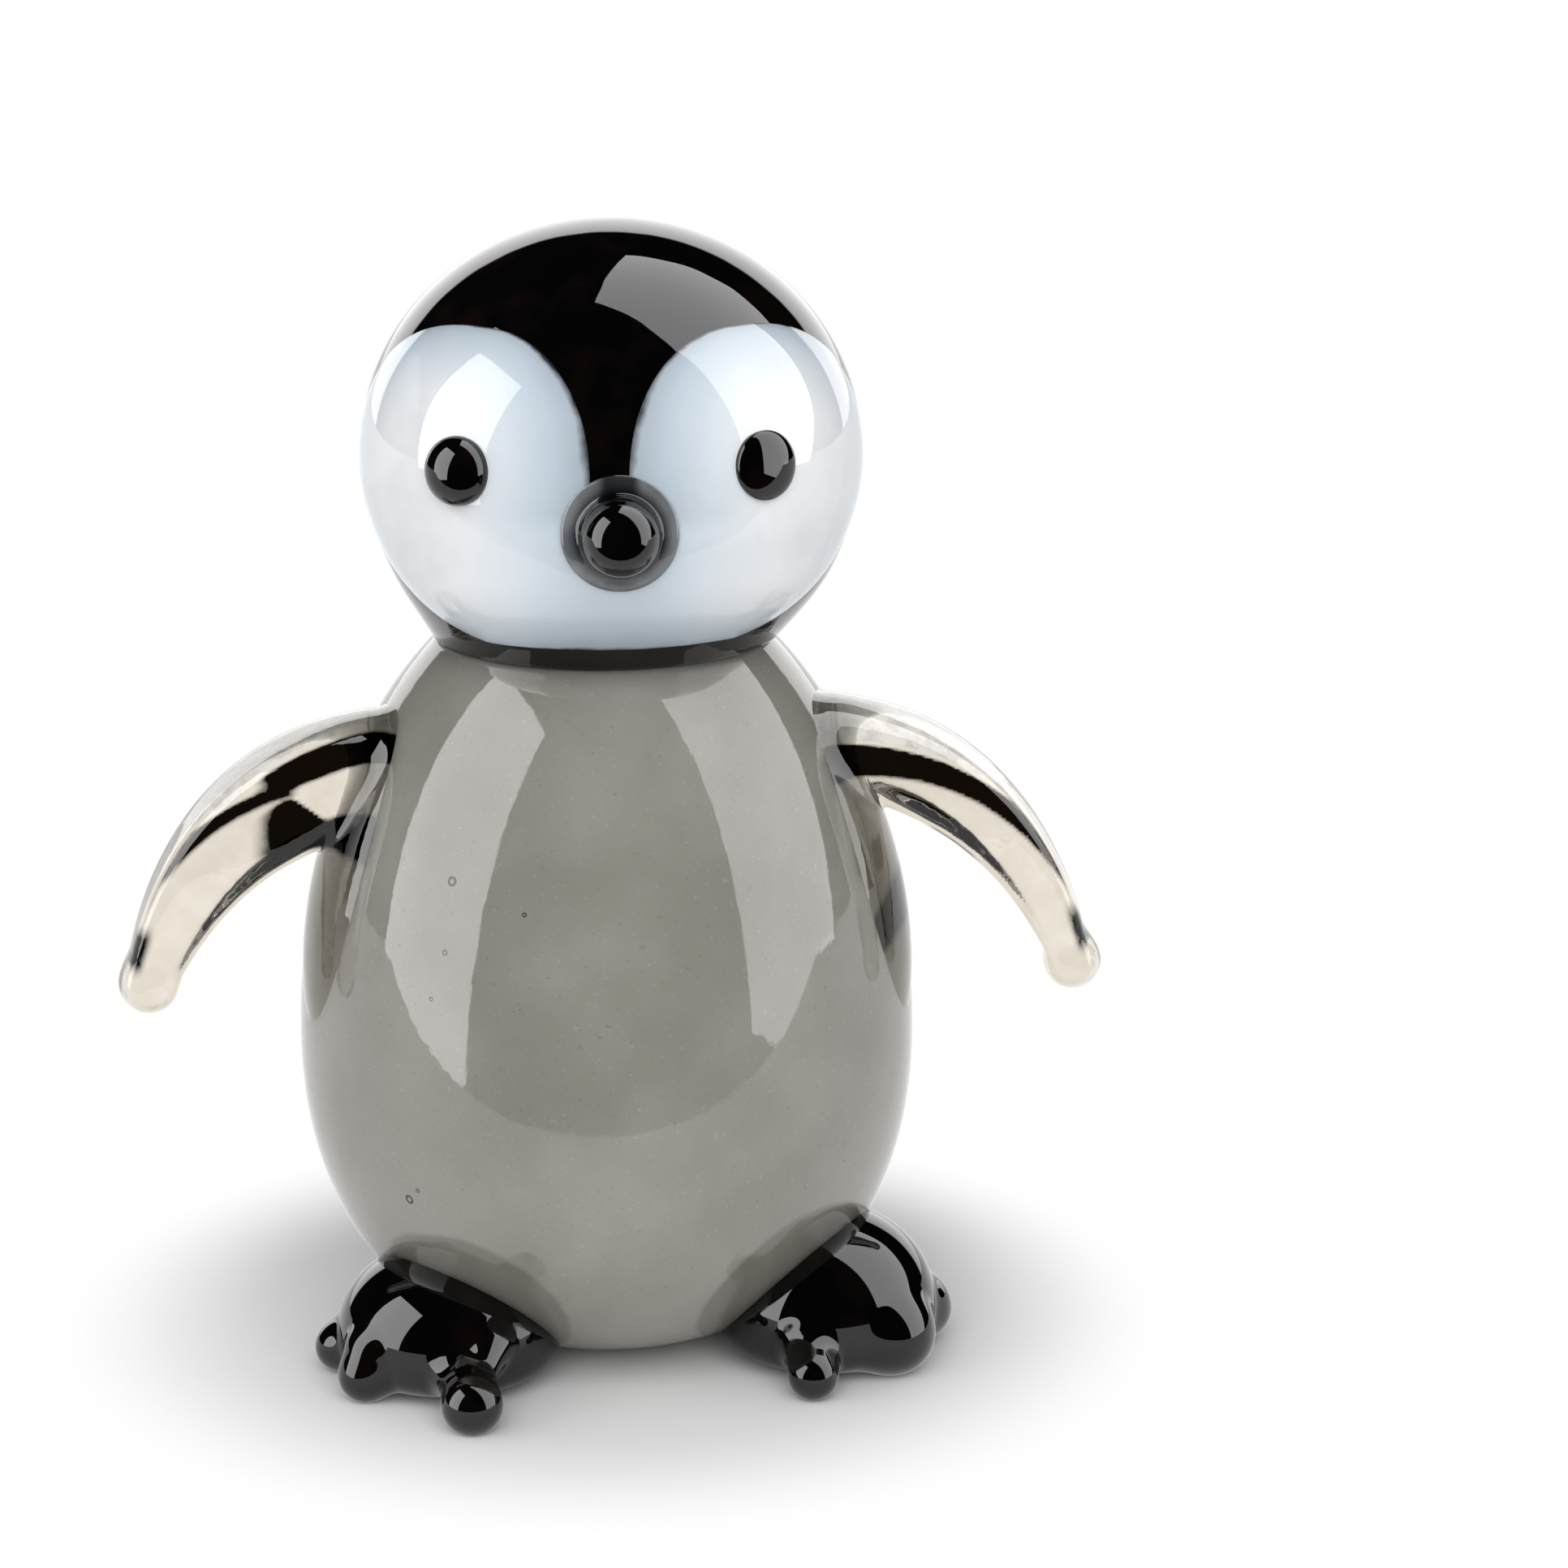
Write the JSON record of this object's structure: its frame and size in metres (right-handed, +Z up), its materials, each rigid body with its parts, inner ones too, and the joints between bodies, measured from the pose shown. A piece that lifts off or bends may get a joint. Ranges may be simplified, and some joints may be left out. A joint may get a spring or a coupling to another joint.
{
  "type": "penguin figurine",
  "caption": "Small lampworked glass penguin chick with a grey egg-shaped body, black head, white heart-shaped face, clear flippers and black feet; it stands on its base and feet.",
  "frame": {"origin": "centre of the body's flat base, on the surface it stands on", "axes": "+Z up along the body's axis, -Y the way the face looks, +X to the figure's own left"},
  "size_m": [0.0194, 0.013, 0.0225],
  "materials": {
    "grey_glass": "gloss",
    "black_glass": "gloss",
    "white_glass": "gloss",
    "clear_glass": "gloss"
  },
  "bodies": {
    "root": {"body": "grey_glass", "head": "black_glass", "cheek_left": "white_glass", "cheek_right": "white_glass", "beak": "black_glass", "eye_left": "black_glass", "eye_right": "black_glass", "flipper_left": "clear_glass", "flipper_right": "clear_glass", "foot_left": "black_glass", "foot_right": "black_glass", "toe_left_inner": "black_glass", "toe_left_middle": "black_glass", "toe_left_outer": "black_glass", "toe_right_inner": "black_glass", "toe_right_middle": "black_glass", "toe_right_outer": "black_glass"}
  },
  "joints": []
}
